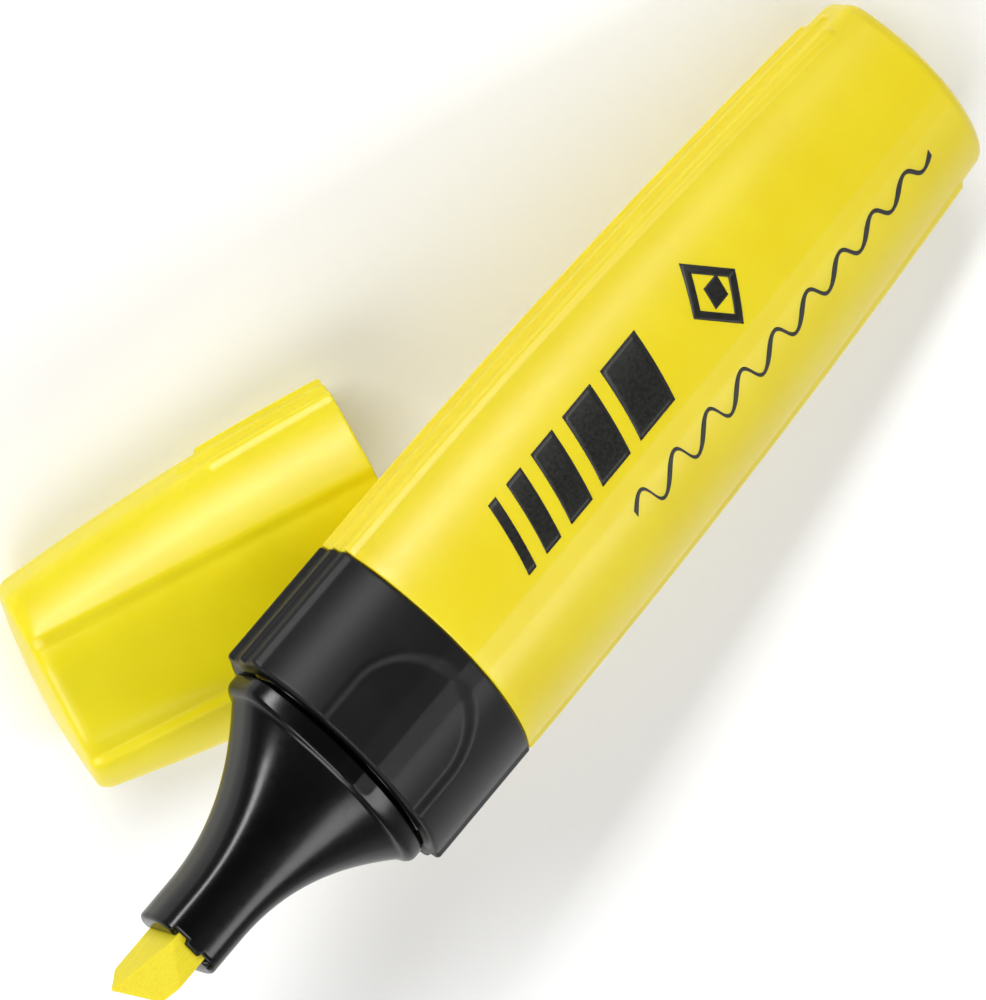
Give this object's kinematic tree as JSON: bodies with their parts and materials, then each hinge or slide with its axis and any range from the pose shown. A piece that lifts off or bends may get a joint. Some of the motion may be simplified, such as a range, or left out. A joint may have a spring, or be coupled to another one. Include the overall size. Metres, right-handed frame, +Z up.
{
  "type": "highlighter",
  "caption": "Flat uncapped highlighter with a black grip collar, flared nib holder and slanted chisel nib, its nib end propped on its loose ribbed cap.",
  "frame": {"origin": "on the ground, under the middle of the whole object's bounding box", "axes": "+Z up from the ground; +X along the cap, from its closed end to its mouth, and 16 degrees off the pen's own length as seen from above, from nib to back end; +Y to the pen's left as seen from above with the nib towards -X"},
  "size_m": [0.1095, 0.0447, 0.0384],
  "materials": {
    "barrel_plastic": "smooth fluorescent yellow, satin gloss",
    "grip_plastic": "fine satin texture, black",
    "holder_plastic": "polished black",
    "nib_fibre": "bonded fibre soaked with yellow ink",
    "core_fibre": "bundled fibre soaked with yellow ink",
    "film": "thin clear film",
    "cap_plastic": "smooth fluorescent yellow, satin gloss",
    "seal_plastic": "soft natural polyethylene tinted yellow"
  },
  "bodies": {
    "pen": {"barrel": "barrel_plastic", "grip_collar": "grip_plastic", "nib_holder": "holder_plastic", "nib": "nib_fibre", "ink_reservoir": "core_fibre", "reservoir_film": "film"},
    "cap": {"cap_shell": "cap_plastic", "cap_inner_seal": "seal_plastic"}
  },
  "joints": [
    {"name": "cap_slide", "type": "slide", "parent": "pen", "child": "cap", "axis": [-1, 0, 0], "range_m": [0, 0.05]}
  ]
}
